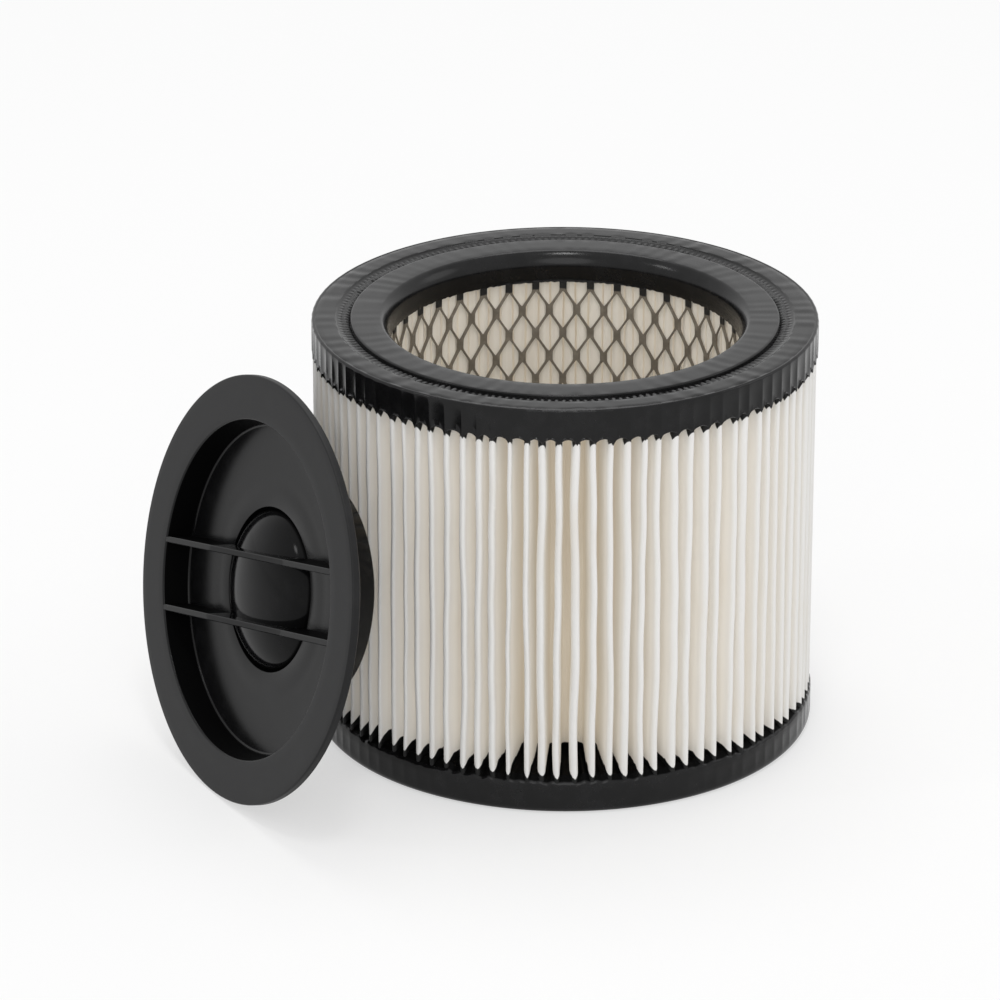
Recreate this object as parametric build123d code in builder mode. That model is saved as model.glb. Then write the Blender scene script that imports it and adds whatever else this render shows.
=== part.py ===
"""Pleated cartridge filter for a shop vacuum, with its retainer cap leaning against it.

Millimetres, +Z up. The filter stands on its lower end cap, with its axis on Z and the origin on that axis at
the floor. The retainer cap has been pulled out of the throat and leans on the pleats at the -X side.
"""

import os
from math import asin, cos, degrees, pi, radians, sin

from build123d import *

os.makedirs("parts", exist_ok=True)

# Filter as a whole
filter_height = 140.0
bore_radius = 57.0

# Expanded metal tube
mesh_ledge = 1.0
mesh_sheet = 0.9
mesh_clearance = 0.3
mesh_columns = 17
mesh_rows = 6
mesh_strand = 2.4

# Pleated sheet
pleat_count = 94
pleat_depth = 23.0
pleat_tip_width = 1.5
sheet_thickness = 0.6

# Upper end cap
upper_depth = 10.7
upper_cover = 0.3
upper_edge = 1.1
lip_flare = 3.0
lip_depth = 6.0
bead_width = 4.9
bead_depth = 2.6

# Lower end cap
lower_depth = 10.5
lower_cover = 0.2
lower_edge = 2.2
lower_bore_edge = 0.8

# Retainer cap
seat_width = 9.1
seat_clearance = 0.7
flange_thickness = 2.8
flange_edge = 0.6
plug_clearance = 0.4
plug_taper = 1.2
retainer_wall = 2.0
recess_depth = 9.1
recess_edge = 0.7
moat_radius = 26.6
moat_floor = 1.0
moat_depth = 4.0
dome_top = 2.6
dome_flat = 5.0
rib_offset = 11.2
rib_thickness = 2.0
rib_roll = 14.7
spigot_margin = 9.4
spigot_wall = 2.2
spigot_draft = 0.8
nose_inset = 6.0
nose_length = 3.6
retainer_depth = 30.8

# How the retainer cap leans
lean_angle = 11.6
lean_gap = 0.3

# Faces and radii that the pieces share
lower_face = lower_depth
upper_face = filter_height - upper_depth
media_height = upper_face - lower_face
mesh_inner_radius = bore_radius + mesh_ledge
mesh_outer_radius = mesh_inner_radius + mesh_sheet
fold_radius = mesh_outer_radius + mesh_clearance
tip_radius = fold_radius + pleat_depth
upper_radius = tip_radius + upper_cover
lower_radius = tip_radius + lower_cover
lip_radius = bore_radius + lip_flare
flange_radius = lip_radius + seat_width
seat_radius = flange_radius + seat_clearance


def polar(radius: float, angle: float) -> tuple[float, float]:
    """Return the point at a radius and an angle in degrees."""
    return (radius * cos(radians(angle)), radius * sin(radians(angle)))


# Pleated sheet: flat crests outside, flat folds inside, and straight flanks between them.
pitch = 360 / pleat_count
crest_half = degrees(asin(pleat_tip_width / 2 / tip_radius))
fold_half = degrees(asin(sheet_thickness / fold_radius))
outer_outline = []
inner_outline = []
for pleat in range(pleat_count):
    crest = pleat * pitch
    valley = crest + pitch / 2
    outer_outline.append(polar(tip_radius, crest - crest_half))
    outer_outline.append(polar(tip_radius, crest + crest_half))
    outer_outline.append(polar(fold_radius + sheet_thickness, valley))
    inner_outline.append(polar(tip_radius - sheet_thickness, crest))
    inner_outline.append(polar(fold_radius, valley - fold_half))
    inner_outline.append(polar(fold_radius, valley + fold_half))

with BuildPart() as pleated_media:
    with BuildSketch(Plane.XY.offset(lower_face)):
        with BuildLine():
            Polyline(*outer_outline, close=True)
        make_face()
        with BuildLine():
            Polyline(*inner_outline, close=True)
        make_face(mode=Mode.SUBTRACT)
    extrude(amount=media_height)
pleated_media.part.label = "pleated_media"

# Upper end cap: a ring with a bead groove outside the retainer's seat and a flared lip at the throat.
lip_arc = (lip_flare**2 + lip_depth**2) / (2 * lip_flare)
lip_turn = degrees(asin(lip_depth / lip_arc))

with BuildPart() as upper_end_cap:
    with BuildSketch(Plane.XZ):
        with BuildLine():
            throat = Line((bore_radius, upper_face), (bore_radius, filter_height - lip_depth))
            lip = JernArc(throat @ 1, (0, 1), lip_arc, -lip_turn)
            seat = Line(lip @ 1, (seat_radius, filter_height))
            groove_wall = Line(seat @ 1, (seat_radius, filter_height - bead_depth))
            groove_slope = Line(groove_wall @ 1, (seat_radius + bead_width, filter_height))
            rim = Line(groove_slope @ 1, (upper_radius - upper_edge, filter_height))
            corner = Line(rim @ 1, (upper_radius, filter_height - upper_edge))
            skirt = Line(corner @ 1, (upper_radius, upper_face))
            Line(skirt @ 1, throat @ 0)
        make_face()
    revolve(axis=Axis.Z)
upper_end_cap.part.label = "upper_end_cap"

# Lower end cap: a plain ring that the filter stands on.
with BuildPart() as lower_end_cap:
    with BuildSketch(Plane.XZ):
        with BuildLine():
            Polyline(
                (bore_radius + lower_bore_edge, 0),
                (lower_radius - lower_edge, 0),
                (lower_radius, lower_edge),
                (lower_radius, lower_face),
                (bore_radius, lower_face),
                (bore_radius, lower_bore_edge),
                close=True,
            )
        make_face()
    revolve(axis=Axis.Z)
lower_end_cap.part.label = "lower_end_cap"

# Expanded metal tube: staggered columns of diamond openings, with a flat facet between each two columns.
facet_count = 2 * mesh_columns
diamond_width = 2 * mesh_outer_radius * sin(pi / mesh_columns)
diamond_height = 2 * media_height / mesh_rows
diamond_slant = (diamond_width**2 + diamond_height**2) ** 0.5
open_share = 1 - mesh_strand * diamond_slant / (diamond_width * diamond_height)
half_width = open_share * diamond_width / 2
half_height = open_share * diamond_height / 2
diamond = [(half_width, 0), (0, half_height), (-half_width, 0), (0, -half_height)]

opening_columns = []
for first_row in (0, 1):
    heights = [lower_face + row * diamond_height / 2 for row in range(first_row, mesh_rows + 1, 2)]
    with BuildPart() as opening_column:
        with BuildSketch(Plane.YZ):
            with Locations(*[(0, height) for height in heights]):
                Polygon(*diamond)
        extrude(amount=tip_radius)
    opening_columns.append(opening_column.part)

with BuildPart() as support_mesh:
    with BuildSketch(Plane.XY.offset(lower_face)):
        RegularPolygon(mesh_outer_radius, facet_count)
        RegularPolygon(mesh_inner_radius, facet_count, mode=Mode.SUBTRACT)
    extrude(amount=media_height)
    for index, column in enumerate(opening_columns):
        with PolarLocations(0, mesh_columns, start_angle=index * 360 / facet_count):
            add(column, mode=Mode.SUBTRACT)
support_mesh.part.label = "support_mesh"

# Retainer cap: its front face looks along lean_normal, and lean_up runs up that face.
lean_normal = Vector(-cos(radians(lean_angle)), 0, sin(radians(lean_angle)))
lean_up = Vector(sin(radians(lean_angle)), 0, cos(radians(lean_angle)))
spigot_radius = moat_radius + spigot_margin
nose_radius = spigot_radius - nose_inset
reach = retainer_depth * cos(radians(lean_angle)) + nose_radius * sin(radians(lean_angle))
face_height = flange_radius * cos(radians(lean_angle)) + flange_thickness * sin(radians(lean_angle))
face_centre = Vector(-(tip_radius + lean_gap + reach), 0, face_height)
section = Plane(face_centre, x_dir=lean_up, z_dir=(0, -1, 0))
rib_direction = Vector(0, -cos(radians(rib_roll)), 0) + lean_up * sin(radians(rib_roll))
rib_plane = Plane(face_centre, x_dir=rib_direction, z_dir=lean_normal)

plug_radius = bore_radius - plug_clearance
recess_radius = plug_radius - retainer_wall
moat_bottom = recess_depth + moat_depth
dome_radius = moat_radius - moat_floor
dome_rise = moat_bottom - dome_top
floor_back = recess_depth + retainer_wall
moat_back = moat_bottom + retainer_wall
shoulder_depth = retainer_depth - nose_length


def dome_arc(foot: float, rise: float, top: float) -> JernArc:
    """Draw a dome's side from the edge of its flat top out to its foot, with depths below the front face."""
    run = foot - dome_flat
    side = (run**2 + rise**2) / (2 * rise)
    return JernArc((dome_flat, -top), (1, 0), side, -degrees(asin(run / side)))


# The hollow of the front face, with the ribs left standing in it.
with BuildPart() as recess:
    with BuildSketch(section):
        with BuildLine():
            dome = dome_arc(dome_radius, dome_rise, dome_top)
            Polyline(
                dome @ 1,
                (moat_radius, -moat_bottom),
                (moat_radius, -recess_depth),
                (recess_radius - plug_taper, -recess_depth),
                (recess_radius, -recess_edge),
                (recess_radius + recess_edge, 0),
                (recess_radius + recess_edge, recess_edge),
                (0, recess_edge),
                (0, -dome_top),
                dome @ 0,
            )
        make_face()
    revolve(axis=Axis(face_centre, lean_normal))
    with BuildSketch(rib_plane):
        with Locations((0, rib_offset), (0, -rib_offset)):
            Rectangle(2 * flange_radius, rib_thickness)
    extrude(amount=-moat_back, mode=Mode.SUBTRACT)

with BuildPart() as retainer_cap:
    with BuildSketch(section):
        with BuildLine():
            dome_back = dome_arc(dome_radius - retainer_wall, dome_rise, dome_top + retainer_wall)
            Polyline(
                dome_back @ 0,
                (0, -dome_top - retainer_wall),
                (0, 0),
                (flange_radius - flange_edge, 0),
                (flange_radius, -flange_edge),
                (flange_radius, -flange_thickness),
                (plug_radius, -flange_thickness),
                (plug_radius - plug_taper, -floor_back),
                (spigot_radius + spigot_draft, -floor_back),
                (spigot_radius, -shoulder_depth),
                (nose_radius, -retainer_depth),
                (nose_radius - spigot_wall, -retainer_depth),
                (spigot_radius - spigot_wall, -shoulder_depth),
                (spigot_radius - spigot_wall, -floor_back),
                (moat_radius + retainer_wall, -floor_back),
                (moat_radius + retainer_wall, -moat_back),
                dome_back @ 1,
            )
        make_face()
    revolve(axis=Axis(face_centre, lean_normal))
    add(recess.part, mode=Mode.SUBTRACT)
retainer_cap.part.label = "retainer_cap"

export_step(pleated_media.part, "parts/pleated_media.step")
export_step(upper_end_cap.part, "parts/upper_end_cap.step")
export_step(lower_end_cap.part, "parts/lower_end_cap.step")
export_step(support_mesh.part, "parts/support_mesh.step")
export_step(retainer_cap.part, "parts/retainer_cap.step")
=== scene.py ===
"""Dress the pleated cartridge filter and the retainer cap that leans against it.

Sizes in the classes are millimetres, and Blender's own units are metres. The filter stands on the floor with
its axis on Z. The retainer cap leans on the pleats at the -X side.
"""

import logging
import math
from abc import ABC, abstractmethod
from collections.abc import Mapping, Sequence
from dataclasses import dataclass, field
from enum import Enum

import bmesh
import bpy
import numpy as np
from mathutils import Matrix, Vector

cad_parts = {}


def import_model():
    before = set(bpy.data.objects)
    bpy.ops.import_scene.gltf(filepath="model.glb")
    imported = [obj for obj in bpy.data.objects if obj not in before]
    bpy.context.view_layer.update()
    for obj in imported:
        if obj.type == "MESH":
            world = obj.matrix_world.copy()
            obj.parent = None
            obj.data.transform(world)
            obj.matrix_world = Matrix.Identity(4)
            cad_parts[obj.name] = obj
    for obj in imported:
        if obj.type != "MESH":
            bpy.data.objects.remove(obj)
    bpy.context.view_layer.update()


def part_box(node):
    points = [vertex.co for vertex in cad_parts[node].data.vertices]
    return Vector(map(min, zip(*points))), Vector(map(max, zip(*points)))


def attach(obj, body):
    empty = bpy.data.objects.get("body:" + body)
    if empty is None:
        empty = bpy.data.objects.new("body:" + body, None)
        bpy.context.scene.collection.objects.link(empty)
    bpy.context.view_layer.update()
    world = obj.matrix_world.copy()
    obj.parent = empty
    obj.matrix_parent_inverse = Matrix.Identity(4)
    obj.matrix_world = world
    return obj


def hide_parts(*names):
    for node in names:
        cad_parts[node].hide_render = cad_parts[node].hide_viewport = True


MM = 0.001
TURN = 2 * math.pi
CREASE = math.radians(38.0)
BODY = "root"

log = logging.getLogger("cartridge_filter")

Colour = tuple[float, float, float]
Point = tuple[float, float]

BLACK: Colour = (0.0, 0.0, 0.0)
WHITE: Colour = (1.0, 1.0, 1.0)


class Relief(Enum):
    """What breaks up a stretch of a moulded ring."""

    NONE = "none"
    RIPPLE = "slight waves across a flat"
    RIB = "radial ribs of the bead groove"
    FLUTE = "hollows in the skirt between two pleats"
    TOOTH = "pointed drips over the pleat tips"
    FRINGE = "ragged edge where the moulding stops"


class Socket:
    """A node's output that Python arithmetic extends with Math nodes."""

    def __init__(self, shader: "Shader", output: bpy.types.NodeSocket) -> None:
        """Keep the output and the shader that new nodes go to."""
        self.shader = shader
        self.output = output

    def sibling(self, name: str) -> "Socket":
        """Return another output of the same node."""
        return Socket(self.shader, self.output.node.outputs[name])

    def math(self, operation: str, *values: "Feed") -> "Socket":
        """Add a Math node for this value and the others.

        Args:
            operation: The Math node's operation.
            values: All its inputs in order, this value among them.

        Returns:
            The result's socket.
        """
        return self.shader.node("ShaderNodeMath", {"operation": operation}, dict(enumerate(values)))

    def __add__(self, other: "Feed") -> "Socket":
        """Add."""
        return self.math("ADD", self, other)

    def __radd__(self, other: "Feed") -> "Socket":
        """Add, from the right."""
        return self.math("ADD", other, self)

    def __sub__(self, other: "Feed") -> "Socket":
        """Subtract."""
        return self.math("SUBTRACT", self, other)

    def __rsub__(self, other: "Feed") -> "Socket":
        """Subtract this from another."""
        return self.math("SUBTRACT", other, self)

    def __mul__(self, other: "Feed") -> "Socket":
        """Multiply."""
        return self.math("MULTIPLY", self, other)

    def __rmul__(self, other: "Feed") -> "Socket":
        """Multiply, from the right."""
        return self.math("MULTIPLY", other, self)

    def __truediv__(self, other: "Feed") -> "Socket":
        """Divide."""
        return self.math("DIVIDE", self, other)

    def __rtruediv__(self, other: "Feed") -> "Socket":
        """Divide another by this."""
        return self.math("DIVIDE", other, self)

    def larger(self, other: "Feed") -> "Socket":
        """Return the larger of two values."""
        return self.math("MAXIMUM", self, other)

    def between(self, low: float, high: float) -> "Socket":
        """Return a smooth step from 0 at low to 1 at high."""
        feeds = {"Value": self, "From Min": low, "From Max": high}
        return self.shader.node("ShaderNodeMapRange", {"interpolation_type": "SMOOTHSTEP"}, feeds)


Feed = Socket | float | Sequence[float]


class Shader:
    """Adds nodes to one node tree."""

    def __init__(self, tree: bpy.types.NodeTree) -> None:
        """Start from an empty tree."""
        self.tree = tree
        tree.nodes.clear()

    def node(
        self,
        kind: str,
        settings: Mapping[str, object] | None = None,
        feeds: Mapping[str | int, Feed] | None = None,
        output: str | int = 0,
    ) -> Socket | None:
        """Add a node, set it up and feed its inputs.

        Args:
            kind: Blender's name of the node's type.
            settings: Properties that are set before the inputs.
            feeds: Values or sockets by the input's name or index.
            output: Name or index of the output that is wanted.

        Returns:
            That output, or None where the node has no outputs.
        """
        node = self.tree.nodes.new(kind)
        for name, value in (settings or {}).items():
            setattr(node, name, value)
        for key, feed in (feeds or {}).items():
            target = node.inputs[key]
            if isinstance(feed, Socket):
                self.tree.links.new(feed.output, target)
            elif target.type == "RGBA":
                target.default_value = (*feed, 1.0)
            else:
                target.default_value = feed
        return Socket(self, node.outputs[output]) if node.outputs else None

    def mix(self, factor: Feed, first: Feed, second: Feed) -> Socket:
        """Mix two colours by a factor."""
        settings = {"data_type": "RGBA"}
        return self.node("ShaderNodeMix", settings, {0: factor, 6: first, 7: second}, 2)

    def place(self) -> Socket:
        """Return the point's place in its piece's own axes, in metres."""
        return self.node("ShaderNodeTexCoord", output="Object")

    def facing(self) -> Socket:
        """Return the surface's normal in its piece's own axes."""
        return self.node("ShaderNodeTexCoord", output="Normal")

    def stretched(self, place: Socket, scale: Colour) -> Socket:
        """Scale a place by its own factor on each axis."""
        return self.node("ShaderNodeVectorMath", {"operation": "MULTIPLY"}, {0: place, 1: scale})

    def radius(self, place: Socket) -> Socket:
        """Return a place's distance from the Z axis, in millimetres."""
        flat = self.stretched(place, (1 / MM, 1 / MM, 0.0))
        return self.node("ShaderNodeVectorMath", {"operation": "LENGTH"}, {0: flat}, "Value")

    def height(self, place: Socket) -> Socket:
        """Return a place's height on the Z axis, in millimetres."""
        return self.node("ShaderNodeSeparateXYZ", {}, {0: place}, "Z") / MM

    def noise(self, place: Socket, scale: float, detail: float = 3.0, roughness: float = 0.5) -> Socket:
        """Return noise from 0 to 1 at a scale in features per metre."""
        feeds = {"Vector": place, "Scale": scale, "Detail": detail, "Roughness": roughness}
        return self.node("ShaderNodeTexNoise", {}, feeds)

    def bump(self, height: Socket, distance: float, strength: float = 1.0) -> Socket:
        """Return a normal bent by a height from 0 to 1 over a distance in millimetres."""
        feeds = {"Height": height, "Distance": distance * MM, "Strength": strength}
        return self.node("ShaderNodeBump", {}, feeds)

    def along(self, place: Socket, direction: Colour) -> Socket:
        """Return how far a place lies along a direction, in millimetres."""
        settings = {"operation": "DOT_PRODUCT"}
        return self.node("ShaderNodeVectorMath", settings, {0: place, 1: direction}, "Value") / MM

    def principled(self, feeds: Mapping[str, Feed]) -> Socket:
        """Return a Principled shader with its inputs fed."""
        return self.node("ShaderNodeBsdfPrincipled", {}, feeds)

    def painted_shade(self, colour: Colour) -> Socket:
        """Return a painted-shade shader: a dark colour that mirrors next to nothing."""
        return self.principled({"Base Color": colour, "Roughness": 0.5, "Specular IOR Level": 0.03})

    def blend(self, factor: Socket, first: Socket, second: Socket) -> Socket:
        """Mix two shaders by a factor."""
        return self.node("ShaderNodeMixShader", {}, {0: factor, 1: first, 2: second})


class Finish(ABC):
    """A surface finish that makes its own material."""

    slot: str

    def material(self) -> bpy.types.Material:
        """Make the material.

        Returns:
            A material with the finish's own surface.
        """
        material = bpy.data.materials.new(self.slot)
        material.use_nodes = True
        shader = Shader(material.node_tree)
        shader.node("ShaderNodeOutputMaterial", {}, {"Surface": self.surface(shader)})
        return material

    @abstractmethod
    def surface(self, shader: Shader) -> Socket:
        """Return the finish's surface shader."""


@dataclass(frozen=True)
class PaperFinish(Finish):
    """Filter paper: off-white, with a tan painted shade deepening from the pleat tips towards the folds, and
    fibres along the pleats.
    """

    tip_radius: float
    fold_radius: float
    bottom: float
    top: float
    slot: str = "filter_paper"
    tip: Colour = (0.83, 0.82, 0.80)
    # Painted shade: the flank and fold colours warm the paper to tan towards the folds, for light bounced
    # between the pleats.
    flank: Colour = (0.83, 0.805, 0.76)
    fold: Colour = (0.84, 0.79, 0.70)
    stain: Colour = (0.70, 0.62, 0.50)
    resin: Colour = (0.005, 0.005, 0.005)
    # Painted glow: an emission colour and strength that brighten the folds as if light came through the
    # paper.
    painted_glow: Colour = (1.0, 0.94, 0.84)
    painted_glow_strength: float = 0.10
    roughness: float = 0.85
    foot_climb: float = 4.2
    foot_slope: float = 1.4
    foot_side: Colour = (-0.87, 0.50, 0.0)
    foot_wedge: float = 3.5
    drip_inset: float = 1.2
    drip_half: float = 1.7
    drip_drop: float = 2.4
    fold_drop: float = 0.6
    raggedness: float = 3.0
    flank_rim: float = 5.0
    crest_band: Point = (1.6, 0.4)
    painted_glow_band: Point = (4.5, 0.4)
    streak_band: Point = (4.0, 9.0)
    fold_band: Point = (9.0, 11.0)

    def surface(self, shader: Shader) -> Socket:
        """Colour the sheet by its depth with painted shade towards the folds, paint a glow into the pleats
        for light through the paper, and soak its ends in resin.

        Args:
            shader: The material's nodes.

        Returns:
            The paper's surface.
        """
        place = shader.place()
        depth = shader.radius(place)
        fibres = shader.noise(shader.stretched(place, (1.0, 1.0, 0.12)), 900.0, 4.0, 0.6)
        clouds = shader.noise(shader.stretched(place, (1.0, 1.0, 0.35)), 75.0, 3.0)
        stripes = shader.noise(shader.stretched(place, (1.0, 1.0, 0.04)), 420.0, 2.0)
        # Painted shade: the colour turns tan from the tips towards the folds.
        outwards = depth.between(self.fold_radius, self.tip_radius - self.flank_rim)
        flank = shader.mix(outwards, self.fold, self.flank)
        sheet = shader.mix(depth.between(*self._below_tips(self.crest_band)), flank, self.tip)
        stained = shader.mix(clouds.between(0.52, 0.85) * 0.25, sheet, self.stain)
        inner = 1 - depth.between(*self._above_folds(self.streak_band))
        streaked = shader.mix(stripes.between(0.35, 0.75) * inner * 0.45, stained, self.stain)
        soaked = self._soaked(shader, place, depth)
        # Painted glow: emission away from the tips and the resin stands in for light through the paper and
        # between the pleats.
        painted_glow_mask = (1 - depth.between(*self._below_tips(self.painted_glow_band))) * (1 - soaked)
        return shader.principled(
            {
                "Base Color": shader.mix(soaked, streaked, self.resin),
                "Emission Color": shader.mix(painted_glow_mask, BLACK, self.painted_glow),
                "Emission Strength": self.painted_glow_strength,
                "Roughness": self.roughness - soaked * 0.4,
                "Specular IOR Level": 0.25,
                "Normal": shader.bump(fibres + clouds * 0.6 + soaked * 3.0, 0.12, 0.5),
            }
        )

    def _below_tips(self, band: Point) -> Point:
        """Return the radii at two depths below the pleat tips."""
        return self.tip_radius - band[0], self.tip_radius - band[1]

    def _above_folds(self, band: Point) -> Point:
        """Return the radii at two heights above the inner folds."""
        return self.fold_radius + band[0], self.fold_radius + band[1]

    def _soaked(self, shader: Shader, place: Socket, depth: Socket) -> Socket:
        """Return 1 where resin has crept up the foot of the pleats or run down from their heads.

        Args:
            shader: The material's nodes.
            place: The point's place, in metres.
            depth: Its distance from the axis, in millimetres.

        Returns:
            A mask from 0 to 1.
        """
        height = shader.height(place)
        ragged = shader.noise(shader.stretched(place, (1.0, 1.0, 0.2)), 170.0, 2.0) - 0.5
        bites = ragged * self.raggedness
        slope = shader.along(place, self.foot_side) / self.tip_radius
        inward = self.tip_radius - depth
        wedge = inward.larger(0.0) / self.foot_wedge
        wedge = wedge.math("MINIMUM", wedge.math("POWER", wedge, 0.3), 1.0)
        climb = wedge * (self.foot_climb + slope * self.foot_slope + bites)
        foot = 1 - (height - climb).between(self.bottom + 0.1, self.bottom + 0.5)
        off_centre = inward - self.drip_inset
        drip = (1 - off_centre.math("ABSOLUTE", off_centre) / self.drip_half).larger(0.0)
        on_fold = 1 - depth.between(*self._above_folds(self.fold_band))
        run = drip * (self.drip_drop + bites) + on_fold * (self.fold_drop + ragged)
        head = (height + run).between(self.top - 0.2, self.top + 0.2)
        return foot.larger(head)


@dataclass(frozen=True)
class RubberFinish(Finish):
    """Moulded black elastomer: satin, with a faint bloom and flow marks."""

    slot: str = "end_cap_black"
    body: Colour = (0.0045, 0.0045, 0.0047)
    bloom: Colour = (0.0085, 0.0085, 0.009)
    # Colour of the painted shade in the pool between the pleats.
    shaded: Colour = (0.002, 0.002, 0.002)
    roughness: float = 0.12
    spread: float = 0.12
    # Radius inside which painted shade darkens the pool between the pleats.
    pool_radius: float = 0.0
    pool_edge: float = 0.4

    def surface(self, shader: Shader) -> Socket:
        """Mottle the black with bloom, grain and slow waves, and paint shade into the pool between the
        pleats, darker and barely mirroring.

        Args:
            shader: The material's nodes.

        Returns:
            The elastomer's surface.
        """
        place = shader.place()
        bloom = shader.noise(place, 160.0, 4.0, 0.6)
        grain = shader.noise(place, 2600.0, 2.0)
        waves = shader.noise(place, 70.0, 2.0)
        satin = shader.principled(
            {
                "Base Color": shader.mix(bloom.between(0.38, 0.72), self.body, self.bloom),
                "Roughness": self.roughness + bloom * self.spread,
                "Specular IOR Level": 0.24,
                "Normal": shader.bump(grain * 0.3 + waves, 0.10, 0.35),
            }
        )
        # Painted shade: inside the pool radius the ring turns darker and stops mirroring, as where the pleats
        # shade it.
        outside = shader.radius(place).between(self.pool_radius - self.pool_edge, self.pool_radius)
        return shader.blend(outside, shader.painted_shade(self.shaded), satin)


@dataclass(frozen=True)
class SheetMetalFinish(Finish):
    """Expanded steel sheet with a dull brown-grey skin."""

    bottom: float
    top: float
    slot: str = "mesh_metal"
    skin: Colour = (0.20, 0.175, 0.14)
    worn: Colour = (0.28, 0.25, 0.205)
    resin: Colour = (0.006, 0.006, 0.006)
    metallic: float = 0.45
    roughness: float = 0.42
    dipped: float = 4.0
    dip_edge: float = 0.2
    raggedness: float = 2.0

    def surface(self, shader: Shader) -> Socket:
        """Blotch the skin, let the metal glint where it is worn, and blacken the ends with resin.

        Args:
            shader: The material's nodes.

        Returns:
            The sheet's surface.
        """
        place = shader.place()
        blotch = shader.noise(place, 260.0, 4.0, 0.65)
        pits = shader.noise(place, 1800.0, 3.0)
        ragged = (shader.noise(place, 150.0, 2.0) - 0.5) * self.raggedness
        level = shader.height(place) + ragged
        high, low, edge = self.top - self.dipped, self.bottom + self.dipped, self.dip_edge
        coated = level.between(high - edge, high + edge).larger(1 - level.between(low - edge, low + edge))
        bare = shader.mix(blotch.between(0.42, 0.70), self.skin, self.worn)
        return shader.principled(
            {
                "Base Color": shader.mix(coated, bare, self.resin),
                "Metallic": self.metallic * (1 - coated),
                "Roughness": self.roughness + pits * 0.2,
                "Normal": shader.bump(pits, 0.05, 0.4),
            }
        )


@dataclass(frozen=True)
class MouldedFinish(Finish):
    """Black moulded plastic: fine-grained on the flange, satin in the recess, polished on the dome."""

    dome_radius: float
    recess_radius: float
    recess_depth: float
    slot: str = "retainer_black"
    body: Colour = (0.0042, 0.0042, 0.0045)
    scuffed: Colour = (0.0075, 0.0075, 0.008)
    dusty: Colour = (0.012, 0.012, 0.0125)
    # Colour of the painted shade on the walls and in the moat.
    shaded: Colour = (0.0018, 0.0018, 0.0019)

    def surface(self, shader: Shader) -> Socket:
        """Lay a grained flange and a polished dome over the satin floor of the recess, with painted shade on
        its walls and in the moat round the dome.

        Args:
            shader: The material's nodes.

        Returns:
            The plastic's surface.
        """
        place = shader.place()
        ring = shader.radius(place)
        grain = shader.noise(place, 3200.0, 2.0, 0.6)
        scuffs = shader.noise(place, 110.0, 5.0, 0.65)
        worn = scuffs.between(0.45, 0.75)
        inside = shader.mix(worn, self.body, self.scuffed)
        # Painted shade: a dark, barely mirroring surface for the walls and the sunken moat.
        painted_shade = shader.painted_shade(self.shaded)
        satin = shader.principled(
            {
                "Base Color": inside,
                "Roughness": 0.17 + scuffs * 0.08,
                "Specular IOR Level": 0.18,
                "Normal": shader.bump(grain, 0.05, 0.12),
            }
        )
        polished = shader.principled(
            {"Base Color": inside, "Roughness": 0.08 + scuffs * 0.08, "Specular IOR Level": 0.10}
        )
        grained = shader.principled(
            {
                "Base Color": shader.mix(worn, self.scuffed, self.dusty),
                "Roughness": 0.42 + scuffs * 0.08,
                "Specular IOR Level": 0.24,
                "Normal": shader.bump(grain, 0.05, 0.5),
            }
        )
        dome = 1 - ring.between(self.dome_radius - 0.3, self.dome_radius + 0.3)
        flange = ring.between(self.recess_radius, self.recess_radius + 1.0)
        # Faces across the cap's axis, such as walls and rib sides, get painted shade; the floor and the back
        # behind the recess stay satin.
        floor = shader.node("ShaderNodeSeparateXYZ", {}, {0: shader.facing()}, "Z").between(0.25, 0.5)
        height, level = shader.height(place), -self.recess_depth
        behind = 1 - height.between(level - 1.5, level - 1.0)
        # Inside the dome's radius, the part below the floor level (the moat) gets painted shade; the rest is
        # polished.
        above = height.between(level - 0.5, level + 0.2)
        around = shader.blend(floor.larger(behind), painted_shade, satin)
        recess = shader.blend(dome, around, shader.blend(above, painted_shade, polished))
        return shader.blend(flange, recess, grained)


def arc(centre: Point, radius: float, start: float, end: float, count: int) -> list[Point]:
    """Return points along an arc, with angles in degrees."""
    steps = np.radians(np.linspace(start, end, count))
    return [(centre[0] + radius * math.cos(a), centre[1] + radius * math.sin(a)) for a in steps]


def polar(radius: np.ndarray, angle: np.ndarray) -> np.ndarray:
    """Return plane points at radii and angles in radians."""
    return np.stack([radius * np.cos(angle), radius * np.sin(angle)], axis=-1)


def swell(angles: np.ndarray, lowest: int, highest: int, seed: int) -> np.ndarray:
    """Return seeded noise that closes on itself around a ring.

    Args:
        angles: Angles in radians.
        lowest: Fewest waves in a turn.
        highest: Most waves in a turn.
        seed: Seed of the waves' sizes and phases.

    Returns:
        Values of about -1 to 1.
    """
    rng = np.random.default_rng(seed)
    waves = np.arange(lowest, highest + 1)
    sizes = rng.uniform(0.4, 1.0, len(waves))
    phases = rng.uniform(0, TURN, len(waves))
    total = np.sin(np.outer(angles, waves) + phases) @ sizes
    return total / (1.6 * np.sqrt((sizes**2).sum()))


def ring_faces(turns: int, steps: int) -> list[list[int]]:
    """Return the quads of a closed ring of sections, each a closed loop of points.

    Args:
        turns: Sections around the ring.
        steps: Points in each section.

    Returns:
        Indices of each quad's points, counted section by section.
    """
    around, along = np.meshgrid(np.arange(turns), np.arange(steps), indexing="ij")
    onward, further = (around + 1) % turns, (along + 1) % steps
    here, there = around * steps, onward * steps
    corners = [here + along, there + along, there + further, here + further]
    return np.stack(corners, axis=-1).reshape(-1, 4).tolist()


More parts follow.
